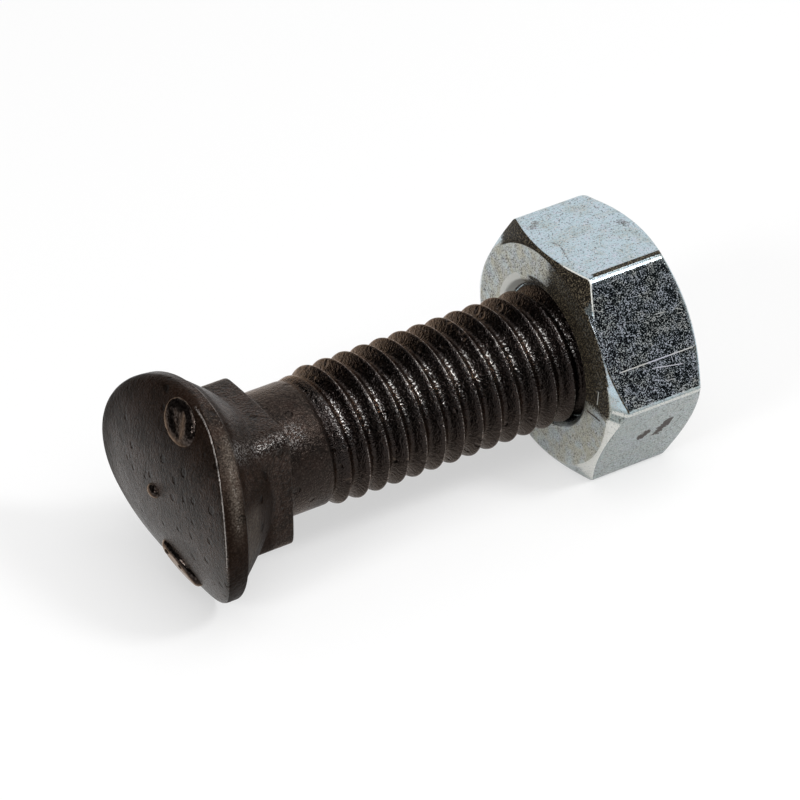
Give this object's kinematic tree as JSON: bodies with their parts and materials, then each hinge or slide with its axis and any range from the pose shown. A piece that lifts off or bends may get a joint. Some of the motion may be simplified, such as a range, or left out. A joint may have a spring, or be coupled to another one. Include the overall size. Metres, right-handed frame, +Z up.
{
  "type": "plough bolt with nut",
  "caption": "Plough bolt with an oval bent-face head, a coned seat, a square neck, a coarse right-hand thread and a hexagon nut.",
  "frame": {"origin": "middle of the bounding box in X and Y, at its bottom, on the ground under the middle of the bolt", "axes": "+X along the bolt from its head to its tip, +Z up, square to the flat that the nut lies on"},
  "size_m": [0.04, 0.019, 0.0167],
  "materials": {
    "blackened_steel": "satin black oxide, brown where thin",
    "zinc_plate": "blue-white zinc plate, stained and scratched"
  },
  "bodies": {
    "bolt": {"bolt": "blackened_steel"},
    "nut": {"nut": "zinc_plate"}
  },
  "joints": [
    {"name": "nut_travel", "type": "slide", "parent": "bolt", "child": "nut", "axis": [1, 0, 0], "range_m": [-0.018, 0.009]}
  ]
}
